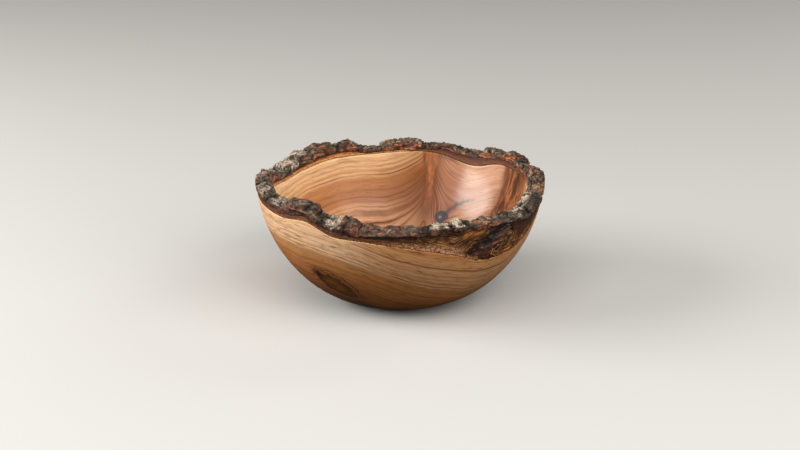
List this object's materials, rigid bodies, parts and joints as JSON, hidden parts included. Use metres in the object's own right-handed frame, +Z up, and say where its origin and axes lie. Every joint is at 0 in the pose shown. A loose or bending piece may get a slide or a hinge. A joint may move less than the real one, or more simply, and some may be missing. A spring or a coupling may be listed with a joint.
{
  "type": "natural edge wooden bowl",
  "caption": "Round turned wooden bowl on a flat foot, its wavy rim left as grown with a crust of rough bark, for holding fruit, nuts or small things on a table.",
  "frame": {"origin": "centre of the flat foot, on the table", "axes": "+Z up along the turning axis, -Y toward the viewer of the picture (the side with the bark pocket at its right), +X to the viewer's right"},
  "size_m": [0.1981, 0.1972, 0.0882],
  "materials": {
    "wood": "sanded and oiled hardwood with a satin sheen, cream sapwood at the rim and brown heartwood below",
    "inner_bark": "smooth turned section of dark brown inner bark with amber streaks, oiled",
    "outer_bark": "rough dry outer bark, black-brown in the cracks, reddish brown on the ridges, grey lichen on top"
  },
  "bodies": {
    "root": {"turned_bowl": "wood", "inner_bark": "inner_bark", "bark_pocket": "outer_bark", "bark_right_ridge": "outer_bark", "bark_right_back_lump": "outer_bark", "bark_right_orange_lump": "outer_bark", "bark_back_right_ridge": "outer_bark", "bark_back_right_saddle": "outer_bark", "bark_back_right_strip": "outer_bark", "bark_back_overhang": "outer_bark", "bark_back_thin_strip": "outer_bark", "bark_back_left_ridge": "outer_bark", "bark_back_left_crest": "outer_bark", "bark_left_lichen_crest": "outer_bark", "bark_left_lichen_lump": "outer_bark", "bark_left_saddle": "outer_bark", "bark_left_knob": "outer_bark", "bark_front_left_knob": "outer_bark", "bark_front_left_lichen": "outer_bark", "bark_front_left_tower": "outer_bark", "bark_front_left_flake": "outer_bark", "bark_front_left_lump": "outer_bark", "bark_front_dip": "outer_bark", "bark_front_lichen": "outer_bark", "bark_front_lump": "outer_bark", "bark_front_right_flake": "outer_bark", "bark_pocket_lid": "outer_bark", "bark_pocket_shoulder": "outer_bark", "bark_right_hollow": "outer_bark", "bark_right_lichen_band": "outer_bark", "bark_right_front_lump": "outer_bark"}
  },
  "joints": []
}
